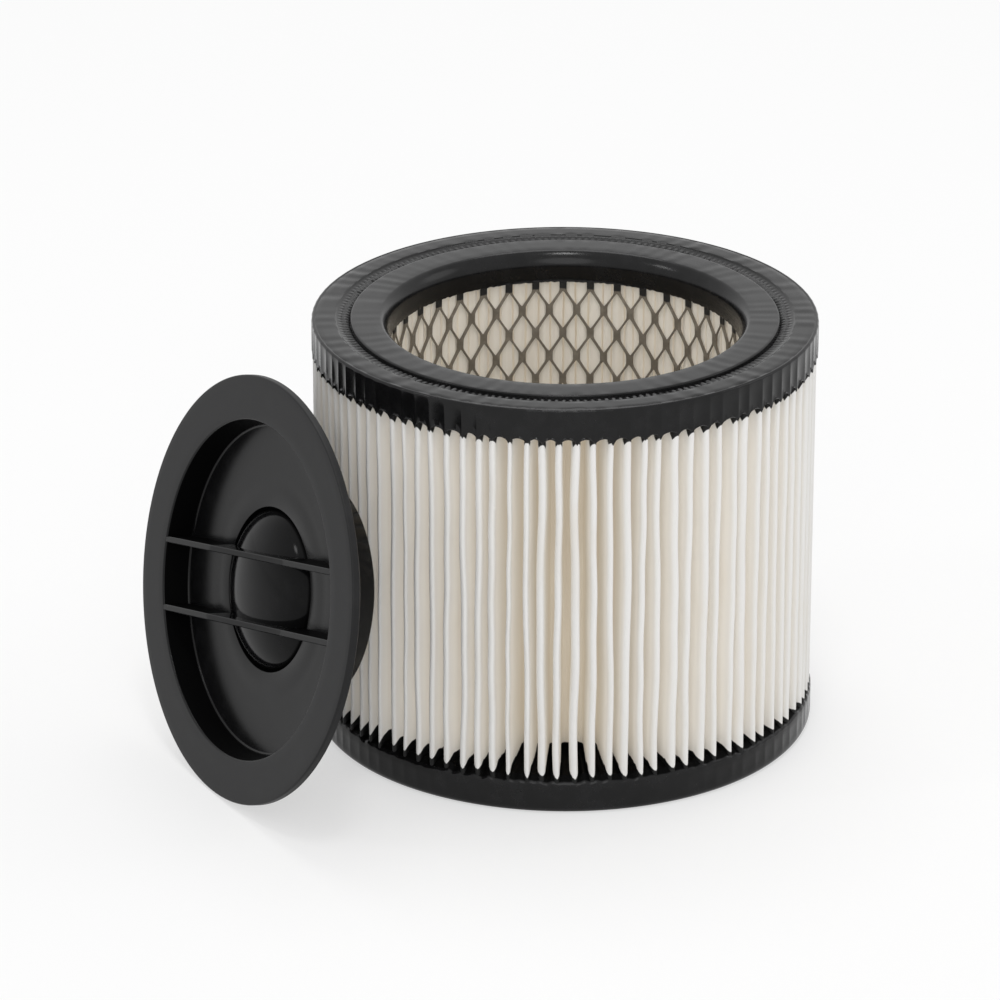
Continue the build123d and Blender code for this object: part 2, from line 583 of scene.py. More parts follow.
def new_piece(
    name: str,
    points: np.ndarray,
    faces: list[list[int]],
    finish: Finish,
    nodes: Sequence[str],
) -> bpy.types.Object:
    """Make a piece that rides with the filter and stands for its nodes.

    Args:
        name: Name of the piece.
        points: Its points in millimetres, one row each.
        faces: Indices of each face's points.
        finish: Its surface finish.
        nodes: The nodes that it replaces.

    Returns:
        The new object.
    """
    mesh = bpy.data.meshes.new(name)
    mesh.from_pydata((np.asarray(points) * MM).tolist(), [], faces)
    settle(mesh)
    mesh.materials.append(finish.material())
    piece = bpy.data.objects.new(name, mesh)
    bpy.context.scene.collection.objects.link(piece)
    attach(piece, BODY)
    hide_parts(*nodes)
    log.info("%s: %d faces", name, len(mesh.polygons))
    return piece


def settle(mesh: bpy.types.Mesh) -> None:
    """Turn a closed mesh's faces outwards, and shade it smooth between its creases.

    Args:
        mesh: The mesh, which is changed.
    """
    work = bmesh.new()
    work.from_mesh(mesh)
    bmesh.ops.recalc_face_normals(work, faces=work.faces)
    work.to_mesh(mesh)
    work.free()
    mesh.shade_smooth()
    mesh.set_sharp_from_angle(angle=CREASE)


@dataclass
class PleatLayout:
    """Where the pleats stand around the filter, a little unevenly."""

    count: int = 94
    unevenness: float = 0.10
    seed: int = 17
    crests: np.ndarray = field(init=False)
    pitches: np.ndarray = field(init=False)

    def __post_init__(self) -> None:
        """Draw the pitches and add them up around the turn."""
        rng = np.random.default_rng(self.seed)
        pitches = 1 + np.clip(rng.normal(0, self.unevenness, self.count), -0.22, 0.22)
        self.pitches = pitches * TURN / pitches.sum()
        self.crests = np.cumsum(self.pitches) - self.pitches

    def stations(self, per_pleat: int) -> tuple[np.ndarray, np.ndarray]:
        """Divide the turn evenly between neighbouring crests.

        Args:
            per_pleat: Stations from one crest to the next.

        Returns:
            The stations' angles, and how far each has come from one crest (0) to the next (1).
        """
        shares = np.arange(per_pleat) / per_pleat
        angles = self.crests[:, None] + self.pitches[:, None] * shares
        return angles.ravel(), np.tile(shares, self.count)


@dataclass
class PleatedMedia:
    """One sheet of paper folded into pleats all round."""

    layout: PleatLayout
    tip_radius: float
    fold_radius: float
    bottom: float
    top: float
    potted: float
    tip_wander: float = 0.35
    sway: float = 0.45
    bulge: float = 0.30
    crest_spread: float = 0.28
    shoulders: Point = (0.8, 1.45)
    rows: int = 22
    seed: int = 5
    crest_outside: tuple[Point, ...] = ((0.0, 0.0), (0.42, 0.12), (0.76, 0.50), (0.95, 1.20))
    crest_inside: tuple[Point, ...] = ((0.0, 0.75), (0.15, 0.84), (0.27, 1.10), (0.34, 1.60))
    fold_outside: tuple[Point, ...] = ((0.67, 2.50), (0.50, 1.15), (0.0, 0.60))
    fold_inside: tuple[Point, ...] = ((0.985, 2.40), (0.84, 0.60), (0.0, 0.0))
    flank_shares: Point = (0.35, 0.70)
    valley_range: Point = (0.44, 0.56)
    fold_sway: float = 0.5

    def build(self) -> bpy.types.Object:
        """Fold the sheet and make its mesh.

        Returns:
            The pleated piece.
        """
        rng = np.random.default_rng(self.seed)
        count = self.layout.count
        heights = np.linspace(self.bottom, self.top, self.rows)
        crests = self.layout.crests[:, None] + self._sway(rng, heights) / self.tip_radius
        valleys = self.layout.crests + self.layout.pitches * rng.uniform(*self.valley_range, count)
        folds = valleys[:, None] + self.fold_sway * self._sway(rng, heights) / self.fold_radius
        tips = self.tip_radius - rng.uniform(0, self.tip_wander, count)[:, None] * np.ones(self.rows)
        bends = rng.uniform(-1, 1, (2, count))[:, :, None] * self.bulge
        widths = 1 + rng.uniform(-1, 1, count)[:, None] * self.crest_spread
        next_crests = np.roll(crests, -1, axis=0)
        next_crests[-1] += TURN
        steep, gentle = self.shoulders
        rising = self._half(crests, folds, tips, steep * widths, bends[0])
        next_tips, next_widths = np.roll(tips, -1, axis=0), np.roll(widths, -1, axis=0)
        falling = self._half(next_crests, folds, next_tips, -gentle * next_widths, bends[1])
        walls = []
        for down, up in zip(rising, falling, strict=True):
            walls.append(np.concatenate([down, up[-2:0:-1]]))
        outside, inside = (self._raise(wall, heights) for wall in walls)
        section = np.concatenate([outside, inside[:, ::-1]], axis=1)
        turns, steps = section.shape[:2]
        shown_bottom, shown_top = self.bottom + self.potted, self.top - self.potted
        finish = PaperFinish(self.tip_radius, self.fold_radius, shown_bottom, shown_top)
        faces = ring_faces(turns, steps)
        return new_piece("pleated_paper", section.reshape(-1, 3), faces, finish, ["pleated_media"])

    def _sway(self, rng: np.random.Generator, heights: np.ndarray) -> np.ndarray:
        """Return each pleat's sideways wander over the heights, in millimetres.

        Args:
            rng: Source of the waves' lengths and phases.
            heights: Heights of the rows.

        Returns:
            The wander by pleat and row.
        """
        count = self.layout.count
        total = np.zeros((count, len(heights)))
        for shortest, longest, share in ((70.0, 190.0, 0.7), (25.0, 50.0, 0.3)):
            lengths = rng.uniform(shortest, longest, (count, 1))
            phases = rng.uniform(0, TURN, (count, 1))
            total += share * np.sin(TURN * heights / lengths + phases)
        return self.sway * total

    def _half(
        self, crest: np.ndarray, fold: np.ndarray, tip: np.ndarray, width: np.ndarray, bend: np.ndarray
    ) -> tuple[np.ndarray, np.ndarray]:
        """Lay out one flank from its crest to its fold.

        Args:
            crest: The crest's angle for each pleat and row.
            fold: The fold's angle for each pleat and row.
            tip: The crest's radius for each pleat and row.
            width: The crest's share of its usual size, negative where the fold comes before the crest.
            bend: How far the flank bows sideways, in millimetres.

        Returns:
            Plane points of the outer and of the inner wall, by station, pleat and row.
        """
        walls = []
        for crest_points, fold_points in (
            (self.crest_outside, self.fold_outside),
            (self.crest_inside, self.fold_inside),
        ):
            near = []
            for across, below in crest_points:
                radius = tip - below * np.abs(width)
                near.append(polar(radius, crest + width * across / radius))
            far = []
            for share, above in fold_points:
                far.append(polar(self.fold_radius + above, fold + share * (crest - fold)))
            run = far[0] - near[-1]
            sideways = np.stack([-run[..., 1], run[..., 0]], axis=-1)
            sideways /= np.linalg.norm(sideways, axis=-1, keepdims=True)
            flank = []
            for share in self.flank_shares:
                bow = (bend * math.sin(math.pi * share))[..., None]
                flank.append(near[-1] + share * run + sideways * bow)
            walls.append(np.stack(near + flank + far))
        return walls[0], walls[1]

    def _raise(self, wall: np.ndarray, heights: np.ndarray) -> np.ndarray:
        """Lift a wall's plane points to their rows' heights, station by station around the turn.

        Args:
            wall: Plane points by station, pleat and row.
            heights: Heights of the rows.

        Returns:
            Points in space by station and row.
        """
        stations = np.moveaxis(wall, 0, 1).reshape(-1, len(heights), 2)
        levels = np.broadcast_to(heights, stations.shape[:2])
        return np.concatenate([stations, levels[..., None]], axis=-1)


@dataclass(frozen=True)
class RingPoint:
    """One point of a moulded ring's section, with what breaks it up and by how much in millimetres."""

    radius: float
    height: float
    relief: Relief = Relief.NONE
    amount: float = 0.0


@dataclass
class MouldedRing(ABC):
    """A black ring moulded onto the ends of the pleats."""

    layout: PleatLayout
    outer_radius: float
    bore_radius: float
    bottom: float
    top: float

    @abstractmethod
    def section(self) -> list[RingPoint]:
        """Return the ring's section, closed, from the bore's lower edge upwards and around."""

    @abstractmethod
    def waves(self, angles: np.ndarray, shares: np.ndarray) -> dict[Relief, np.ndarray]:
        """Return each relief's height around the turn, for an amount of 1."""

    def mould(self, name: str, node: str, per_pleat: int) -> bpy.types.Object:
        """Sweep the section around the axis with its relief.

        Args:
            name: Name of the piece.
            node: The node that it replaces.
            per_pleat: Stations from one pleat to the next.

        Returns:
            The ring.
        """
        angles, shares = self.layout.stations(per_pleat)
        waves = self.waves(angles, shares)
        columns = []
        for point in self.section():
            lift = point.amount * waves.get(point.relief, np.zeros_like(angles))
            hollow = lift if point.relief is Relief.FLUTE else np.zeros_like(lift)
            place = polar(point.radius - hollow, angles)
            columns.append(np.column_stack([place, point.height + lift - hollow]))
        rings = np.stack(columns, axis=1)
        turns, steps = rings.shape[:2]
        faces = ring_faces(turns, steps)
        return new_piece(name, rings.reshape(-1, 3), faces, self.finish(), [node])

    def finish(self) -> RubberFinish:
        """Return the ring's surface finish."""
        return RubberFinish()


@dataclass
class UpperEndCap(MouldedRing):
    """The upper ring: flared throat, retainer seat, ribbed bead groove and a skirt with drips."""

    lip_flare: float = 3.0
    lip_depth: float = 6.0
    lip_round: float = 0.5
    seat_radius: float = 69.8
    seat_round: float = 0.55
    seat_margin: float = 0.8
    bead_width: float = 4.9
    bead_ribs: int = 200
    rib_sunk: float = 0.6
    rib_depth: float = 1.6
    rib_fills: tuple[Point, ...] = (
        (0.03, 0.2),
        (0.10, 0.6),
        (0.28, 1.0),
        (0.48, 0.9),
        (0.68, 0.5),
        (0.86, 0.1),
    )
    corner: float = 0.9
    corner_line: float = 0.14
    flute: float = 0.42
    tooth_half: float = 1.0
    tooth_drop: Point = (0.8, 1.9)
    arch_rise: float = 0.6
    ripple: float = 0.10
    seed: int = 29

    def section(self) -> list[RingPoint]:
        """Return the section from the throat's ragged lower edge over the top and down the skirt.

        Returns:
            The section's points in order.
        """
        throat, top, face, rim = self.bore_radius, self.top, self.bottom, self.outer_radius
        sweep = (self.lip_flare**2 + self.lip_depth**2) / (2 * self.lip_flare)
        turn = math.degrees(math.asin(self.lip_depth / sweep))
        lip = arc((throat + sweep, top - self.lip_depth), sweep, 180, 180 - turn + 6, 8)
        flat_start = throat + self.lip_flare + self.lip_round
        wall = self.seat_radius
        points = [
            RingPoint(throat + 0.5, face + 0.2, Relief.FRINGE, 0.3),
            RingPoint(throat + 0.05, face + 0.9, Relief.FRINGE, 0.2),
            RingPoint(throat, face + 2.4),
        ]
        points += [RingPoint(*place) for place in lip]
        points.append(RingPoint(throat + self.lip_flare, top - 0.08))
        for share in (0.0, 0.33, 0.67, 1.0):
            radius = flat_start + share * (wall - self.seat_margin - flat_start)
            points.append(RingPoint(radius, top, Relief.RIPPLE, self.ripple * 0.5))
        rounded = arc((wall - self.seat_round, top - self.seat_round), self.seat_round, 75, 0, 4)
        points += [RingPoint(*place) for place in rounded]
        for share, fill in self.rib_fills:
            radius = wall + 0.05 + share * self.bead_width
            height = top - self.rib_depth + share * (self.rib_depth - 0.3)
            points.append(RingPoint(radius, height, Relief.RIB, fill * (top - self.rib_sunk - height)))
        groove_end = wall + self.bead_width
        points += [RingPoint(groove_end - 0.3, top - 0.35), RingPoint(groove_end, top - 0.06)]
        flat_end = rim - self.corner
        for share in (0.08, 0.35, 0.65, 0.88):
            radius = groove_end + share * (flat_end - groove_end)
            points.append(RingPoint(radius, top, Relief.RIPPLE, self.ripple))
        points += [RingPoint(flat_end - 0.35, top - self.corner_line), RingPoint(flat_end - 0.08, top - 0.02)]
        for number, place in enumerate(arc((flat_end, top - self.corner), self.corner, 78, 0, 5)):
            points.append(RingPoint(*place, Relief.FLUTE, self.flute * 0.08 * number))
        for share in (0.2, 0.45, 0.7, 0.88):
            height = top - self.corner - share * (top - self.corner - face)
            points.append(RingPoint(rim, height, Relief.FLUTE, self.flute * (0.5 + 0.5 * share)))
        points += [
            RingPoint(rim - 0.02, face + 0.35, Relief.TOOTH, 1.0),
            RingPoint(rim - 0.25, face, Relief.TOOTH, 1.0),
            RingPoint(rim - 0.75, face + 0.1, Relief.TOOTH, 0.9),
            RingPoint(rim - 1.9, face + 0.3),
        ]
        inner = throat + 2.6
        points += [RingPoint(inner + share * (rim - 1.9 - inner), face + 0.7) for share in (0.75, 0.5, 0.25)]
        points += [
            RingPoint(inner + 0.9, face + 0.3, Relief.FRINGE, 0.5),
            RingPoint(inner, face, Relief.FRINGE, 0.7),
            RingPoint(inner - 0.35, face + 0.1, Relief.FRINGE, 0.6),
            RingPoint(inner - 0.8, face + 0.7),
        ]
        return points

    def waves(self, angles: np.ndarray, shares: np.ndarray) -> dict[Relief, np.ndarray]:
        """Work out the ribs, flutes, drips and ragged edges around the ring.

        Args:
            angles: The stations' angles in radians.
            shares: How far each station has come from one crest (0) to the next (1).

        Returns:
            Each relief's height around the turn, for an amount of 1.
        """
        per_pleat = len(angles) // self.layout.count
        pitch = np.repeat(self.layout.pitches, per_pleat) * self.outer_radius
        nearest = np.minimum(shares, 1 - shares)
        rng = np.random.default_rng(self.seed)
        drops = rng.uniform(*self.tooth_drop, self.layout.count)
        widths = self.tooth_half * rng.uniform(0.8, 1.2, self.layout.count)
        owner = (np.repeat(np.arange(self.layout.count), per_pleat) + (shares > 0.5)) % self.layout.count
        drop, half = drops[owner], widths[owner]
        away = nearest * pitch
        tooth = -drop * np.clip(1 - away / half, 0, 1) ** 1.15
        beyond = np.clip((away - half) / (pitch / 2 - half), 0, 1)
        rib = np.clip(np.cos(self.bead_ribs * angles) * 1.5 + 0.45, -1, 1) * 0.5 + 0.5
        fringe = 0.6 * swell(angles, 60, 190, self.seed + 3)
        return {
            Relief.RIPPLE: swell(angles, 20, 90, self.seed + 1),
            Relief.RIB: rib * (0.8 + 0.3 * swell(angles, 5, 40, self.seed + 2)),
            Relief.FLUTE: 1 - (1 - 2 * nearest) ** 2,
            Relief.TOOTH: tooth + self.arch_rise * np.sin(0.5 * math.pi * beyond),
            Relief.FRINGE: fringe - 0.35 * np.cos(self.layout.count * angles) ** 2,
        }


@dataclass
class LowerEndCap(MouldedRing):
    """The lower ring: a smooth band that the filter stands on, with the pleats potted into its top."""

    corner: float = 2.2
    bore_edge: float = 0.8
    fringe: float = 0.4
    pool: float = 2.2
    flute: float = 0.16
    band_heights: tuple[float, ...] = (7.8, 5.2, 3.6)
    pool_inset: float = 0.4
    seed: int = 43

    def finish(self) -> RubberFinish:
        """Return a finish with painted shade where the pleats are potted."""
        return RubberFinish(pool_radius=self.outer_radius - self.pool_inset)

    def section(self) -> list[RingPoint]:
        """Return the section from the bore's lower edge up, over the potting and down the band.

        Returns:
            The section's points in order.
        """
        bore, rim, face = self.bore_radius, self.outer_radius, self.top
        points = [RingPoint(bore + 0.15, self.bottom + 0.35), RingPoint(bore, self.bottom + self.bore_edge)]
        points += [RingPoint(bore, self.bottom + share * (face - 1.2)) for share in (0.4, 0.7, 1.0)]
        points += [RingPoint(bore + 0.35, face - 0.7, Relief.FRINGE, 0.5), RingPoint(bore + 1.0, face - 0.5)]
        points += [RingPoint(bore + 2.2, face - 0.35, Relief.FRINGE, 1.2)]
        start, end = bore + 4.0, rim - 2.2
        for share in (0.0, 0.33, 0.66, 1.0):
            points.append(RingPoint(start + share * (end - start), face + self.pool, Relief.FRINGE, 0.6))
        points += [
            RingPoint(rim - 1.2, face + 0.55 * self.pool, Relief.FRINGE, self.fringe),
            RingPoint(rim - 0.5, face + 0.2 * self.pool, Relief.FRINGE, self.fringe),
            RingPoint(rim - 0.12, face - 0.1, Relief.FRINGE, self.fringe),
            RingPoint(rim, face - 0.45, Relief.FRINGE, 0.7 * self.fringe),
        ]
        for height in self.band_heights:
            points.append(RingPoint(rim, self.bottom + height, Relief.FLUTE, self.flute))
        rounded = arc((rim - self.corner, self.corner), self.corner, 0, -90, 6)
        points += [RingPoint(*place) for place in rounded]
        floor_end = bore + self.bore_edge
        floor_run = rim - self.corner - floor_end
        points += [RingPoint(floor_end + share * floor_run, self.bottom) for share in (0.66, 0.33, 0.0)]
        return points

    def waves(self, angles: np.ndarray, shares: np.ndarray) -> dict[Relief, np.ndarray]:
        """Work out the ragged edge of the potting and the slight hollows of the band.

        Args:
            angles: The stations' angles in radians.
            shares: How far each station has come from one crest (0) to the next (1).

        Returns:
            Each relief's height around the turn, for an amount of 1.
        """
        nearest = np.minimum(shares, 1 - shares)
        return {
            Relief.FRINGE: swell(angles, 12, 150, self.seed),
            Relief.FLUTE: 1 - (1 - 2 * nearest) ** 2,
        }


@dataclass
class SupportMesh:
    """A tube of expanded sheet metal with upright diamonds."""

    outer_radius: float
    bottom: float
    top: float
    sheet: float = 0.55
    columns: int = 40
    row_pitch: float = 8.32
    node_height: float = 110.85
    node_angle: float = 60.3
    tilt: float = 0.28
    join_gap: float = 0.01
    hole: tuple[Point, ...] = (
        (3.42, 0.0),
        (3.42, 1.35),
        (3.15, 2.2),
        (2.33, 3.5),
        (1.48, 4.8),
        (0.62, 6.05),
        (0.0, 6.8),
    )

    def build(self) -> bpy.types.Object:
        """Cut the diamonds and roll the sheet into a tube.

        Returns:
            The mesh tube.
        """
        inner = self.outer_radius - self.sheet
        middle = (self.outer_radius + inner) / 2
        width = TURN * middle / self.columns
        edge, hole = self._loops(width)
        count = len(hole)
        points, faces = [], []
        lowest = math.floor((self.bottom - self.node_height) / self.row_pitch) - 1
        highest = math.ceil((self.top - self.node_height) / self.row_pitch) + 1
        for row in range(lowest, highest + 1):
            level = self.node_height + row * self.row_pitch
            for column in range(self.columns):
                turn = math.radians(self.node_angle) + (column + 0.5 + 0.5 * (row % 2)) * TURN / self.columns
                start = len(points)
                for radius in (self.outer_radius, inner):
                    for across, up in edge + hole:
                        leant = radius - self.tilt * up / self.row_pitch * self._inside(across, up, width)
                        angle = turn + across / middle
                        points.append((leant * math.cos(angle), leant * math.sin(angle), level + up))
                for step in range(count):
                    after = (step + 1) % count
                    out_edge, out_hole, in_edge, in_hole = (start + part * count for part in range(4))
                    faces.append([out_edge + step, out_edge + after, out_hole + after, out_hole + step])
                    faces.append([in_edge + after, in_edge + step, in_hole + step, in_hole + after])
                    faces.append([out_hole + step, out_hole + after, in_hole + after, in_hole + step])
        finish = SheetMetalFinish(self.bottom, self.top)
        piece = new_piece("mesh_tube", np.array(points), faces, finish, ["support_mesh"])
        self._trim(piece.data)
        return piece

    def _inside(self, across: float, up: float, width: float) -> float:
        """Return 1 for a point of a hole and 0 for one on the border between two cells."""
        return 1.0 if abs(across) / (width / 2) + abs(up) / self.row_pitch < 0.98 else 0.0

    def _loops(self, width: float) -> tuple[list[Point], list[Point]]:
        """Return the border of one cell and its hole, point against point.

        Args:
            width: The cell's width in millimetres.

        Returns:
            The points of both, across and up from the cell's centre.
        """
        steps = len(self.hole) - 1
        border = []
        for step in range(steps + 1):
            share = step / steps
            border.append(((1 - share) * width / 2, share * self.row_pitch))
        return self._mirror(border), self._mirror(list(self.hole))

    def _mirror(self, quarter: list[Point]) -> list[Point]:
        """Complete a loop from its quarter at the upper right."""
        half = quarter + [(-across, up) for across, up in reversed(quarter[:-1])]
        return half + [(across, -up) for across, up in reversed(half[1:-1])]

    def _trim(self, mesh: bpy.types.Mesh) -> None:
        """Join the cells, cut the tube to length and close the cut ends of its strands.

        Args:
            mesh: The tube's mesh, which is changed.
        """
        work = bmesh.new()
        work.from_mesh(mesh)
        bmesh.ops.remove_doubles(work, verts=work.verts, dist=self.join_gap * MM)
        for level, way in ((self.bottom, -1), (self.top, 1)):
            everything = work.verts[:] + work.edges[:] + work.faces[:]
            bmesh.ops.bisect_plane(
                work,
                geom=everything,
                plane_co=(0, 0, level * MM),
                plane_no=(0, 0, way),
                clear_outer=True,
            )
            rim = [edge for edge in work.edges if edge.is_boundary]
            bmesh.ops.holes_fill(work, edges=rim, sides=0)
        work.to_mesh(mesh)
        work.free()
        settle(mesh)


@dataclass
class RetainerCap:
    """The moulded plug with a wide flange, two grip ribs and a central dome, leaning on the pleats."""

    low_x: float
    flange_radius: float
    lean: float = 11.6
    flange_thickness: float = 2.8
    flange_edge: float = 0.6
    flange_rings: tuple[float, ...] = (58.5, 62.0, 66.0)
    recess_radius: float = 54.6
    recess_depth: float = 9.1
    recess_edge: float = 0.7
    wall: float = 2.0
    taper: float = 1.2
    floor_round: float = 0.9
    moat_radius: float = 26.6
    moat_floor: float = 0.6
    moat_depth: float = 2.6
    moat_round: float = 0.3
    dome_top: float = 2.6
    dome_fullness: float = 2.0
    sink_radius: float = 35.0
    sink: float = 0.10
    sink_half: float = 3.0
    rib_offset: float = 11.2
    rib_thickness: float = 2.0
    rib_draft: float = 0.15
    rib_edge: float = 0.25
    rib_crown: float = 0.05
    rib_sunk: float = 0.35
    rib_roll: float = 14.7
    rib_stations: int = 240
    spigot_radius: float = 36.0
    spigot_wall: float = 2.2
    spigot_draft: float = 0.8
    nose_inset: float = 6.0
    nose_length: float = 3.6
    depth: float = 30.8
    segments: int = 288

    def build(self) -> bpy.types.Object:
        """Turn the cap, stand the ribs in it and lean it on the filter.

        Returns:
            The cap, with its own axes: Z out of its face, Y up the face.
        """
        points, faces = self._turned()
        for offset in (self.rib_offset, -self.rib_offset):
            rib_points, rib_faces = self._rib(offset)
            faces += [[index + len(points) for index in face] for face in rib_faces]
            points = np.concatenate([points, rib_points])
        finish = MouldedFinish(self.moat_radius, self.recess_radius, self.recess_depth)
        piece = new_piece("retainer", points, faces, finish, ["retainer_cap"])
        piece.matrix_world = self._leaning()
        return piece

    def _leaning(self) -> Matrix:
        """Return the cap's place, from the lowest X of its node and the floor that it stands on.

        Returns:
            The matrix of the cap's own axes, in metres.
        """
        tilt = math.radians(self.lean)
        centre_x = self.low_x + (self.flange_radius - self.flange_edge) * math.sin(tilt)
        centre_z = self.flange_radius * math.cos(tilt) + self.flange_thickness * math.sin(tilt)
        axes = Matrix(
            (
                (0.0, math.sin(tilt), -math.cos(tilt)),
                (-1.0, 0.0, 0.0),
                (0.0, math.cos(tilt), math.sin(tilt)),
            )
        )
        return Matrix.Translation(Vector((centre_x, 0.0, centre_z)) * MM) @ axes.to_4x4()

    def _front(self) -> list[Point]:
        """Return the front's section as radii and depths, from the dome's top out to the flange's edge.

        Returns:
            Radii and depths in millimetres.
        """
        moat_bottom = self.recess_depth + self.moat_depth
        foot = self.moat_radius - self.moat_floor
        rise = moat_bottom - self.dome_top
        angles = np.radians(np.linspace(0, 84, 26))
        full = 2 / self.dome_fullness
        dome = [(foot * math.sin(a) ** full, moat_bottom - rise * math.cos(a) ** full) for a in angles]
        floor = self.recess_depth
        section = dome + [(foot + 0.1, moat_bottom - 0.1), (self.moat_radius - 0.25, moat_bottom)]
        section.append((self.moat_radius - 0.08, moat_bottom - 0.3))
        rounding = self.moat_round
        section += arc((self.moat_radius + rounding, floor + rounding), rounding, 180, 270, 4)
        for offset in (-3.5, -1.5, 0.0, 1.5, 3.5):
            share = max(0.0, 1 - abs(offset) / self.sink_half)
            section.append((self.sink_radius + offset, floor + self.sink * share))
        foot_radius = self.recess_radius - self.taper
        corner = (foot_radius - self.floor_round, floor - self.floor_round)
        section += arc(corner, self.floor_round, 90, 8, 7)
        section.append((self.recess_radius, self.recess_edge))
        lip = (self.recess_radius + self.recess_edge, self.recess_edge)
        section += arc(lip, self.recess_edge, 180 + 15, 270, 6)
        section += [(radius, 0.0) for radius in self.flange_rings]
        edge = (self.flange_radius - self.flange_edge, self.flange_edge)
        section += arc(edge, self.flange_edge, -90, 0, 6)
        return section

    def _back(self) -> list[Point]:
        """Return the back's section as radii and depths, from the flange's edge in to the dome's hollow.

        Returns:
            Radii and depths in millimetres.
        """
        plug = self.recess_radius + self.wall
        floor = self.recess_depth + self.wall
        moat_back = self.recess_depth + self.moat_depth + self.wall
        hollow = self.moat_radius - self.moat_floor - self.wall
        moat = self.moat_radius + self.wall
        spigot = self.spigot_radius
        root, bore = spigot + self.spigot_draft, spigot - self.spigot_wall
        nose, shoulder = spigot - self.nose_inset, self.depth - self.nose_length
        section = [(self.flange_radius, self.flange_thickness - 0.4)]
        section += [(self.flange_radius - 0.4, self.flange_thickness), (plug + 4.0, self.flange_thickness)]
        section += [(plug + 0.5, self.flange_thickness), (plug, self.flange_thickness + 0.5)]
        section += [(plug - self.taper * 0.9, floor - 0.9)]
        section += arc((plug - self.taper - 0.9, floor - 0.9), 0.9, 15, 90, 5)
        section += [(root + 0.9, floor), (root + 0.2, floor + 0.3), (root, floor + 1.0)]
        section += [(spigot, shoulder - 0.3), (spigot - 0.4, shoulder + 0.2)]
        section += [(nose + 0.2, self.depth - 0.1), (nose - 0.3, self.depth)]
        section += [(nose - self.spigot_wall, self.depth), (bore, shoulder)]
        section += [(bore, floor + 0.6), (bore - 0.6, floor), (moat + 0.5, floor), (moat, floor + 0.5)]
        section += [(moat, moat_back - 0.5), (moat - 0.5, moat_back), (hollow + 0.6, moat_back)]
        rise = moat_back - self.dome_top - self.wall
        angles = np.radians(np.linspace(86, 0, 20))
        section += [(hollow * math.sin(a), moat_back - rise * math.cos(a)) for a in angles]
        return section

    def _turned(self) -> tuple[np.ndarray, list[list[int]]]:
        """Turn the section about the cap's axis.

        Returns:
            The points and faces of the turned cap.
        """
        section = self._front() + self._back()
        inner = section[1:-1]
        angles = np.arange(self.segments) * TURN / self.segments
        points = []
        for angle in angles:
            for radius, depth in inner:
                points.append((radius * math.cos(angle), radius * math.sin(angle), -depth))
        steps = len(inner)
        apex_front, apex_back = len(points), len(points) + 1
        points += [(0.0, 0.0, -section[0][1]), (0.0, 0.0, -section[-1][1])]
        faces = []
        for turn in range(self.segments):
            here, there = turn * steps, (turn + 1) % self.segments * steps
            faces.append([apex_front, here, there])
            for step in range(steps - 1):
                faces.append([here + step, here + step + 1, there + step + 1, there + step])
            faces.append([apex_back, there + steps - 1, here + steps - 1])
        return np.array(points), faces

    def _rib(self, offset: float) -> tuple[np.ndarray, list[list[int]]]:
        """Stand one rib across the recess, with its foot sunk a little into the cap.

        Args:
            offset: The rib's distance from the cap's axis.

        Returns:
            The rib's points and faces.
        """
        section = np.array(self._front())
        half, edge, crown = self.rib_thickness / 2, self.rib_edge, self.rib_crown
        top = self.recess_radius + self.recess_edge + 0.2
        foot_reach = self.recess_radius + 0.4
        profile = (
            (-half - self.rib_draft, None, foot_reach),
            (-half, crown + edge, top),
            (-half + edge, crown, top),
            (half - edge, crown, top),
            (half, crown + edge, top),
            (half + self.rib_draft, None, foot_reach),
        )
        roll = math.radians(self.rib_roll)
        along = np.array((math.cos(roll), math.sin(roll)))
        aside = np.array((-math.sin(roll), math.cos(roll)))
        points = []
        for share in np.linspace(-1, 1, self.rib_stations):
            for across, level, reach in profile:
                side = offset + across
                place = share * math.sqrt(reach**2 - side**2) * along + side * aside
                if level is None:
                    level = self.rib_sunk + np.interp(np.linalg.norm(place), section[:, 0], section[:, 1])
                    level = max(level, crown + edge + 0.5)
                points.append((place[0], place[1], -level))
        steps = len(profile)
        faces = [list(range(steps)), list(range(len(points) - 1, len(points) - steps - 1, -1))]
        for station in range(self.rib_stations - 1):
            here, there = station * steps, (station + 1) * steps
            for step in range(steps):
                after = (step + 1) % steps
                faces.append([here + step, here + after, there + after, there + step])
        return np.array(points), faces


@dataclass(frozen=True)
class SoftBox:
    """An area lamp that looks at a point of the filter."""

    name: str
    place: Colour
    size: float
    power: float
    aim: Colour = (0.0, 0.0, 0.07)

    def hang(self) -> None:
        """Put the lamp in the scene."""
        data = bpy.data.lights.new(self.name, "AREA")
        data.shape = "DISK"
        data.size = self.size
        data.energy = self.power
        lamp = bpy.data.objects.new(self.name, data)
        lamp.location = self.place
        lamp.rotation_euler = (Vector(self.aim) - Vector(self.place)).to_track_quat("-Z", "Y").to_euler()
        bpy.context.scene.collection.objects.link(lamp)


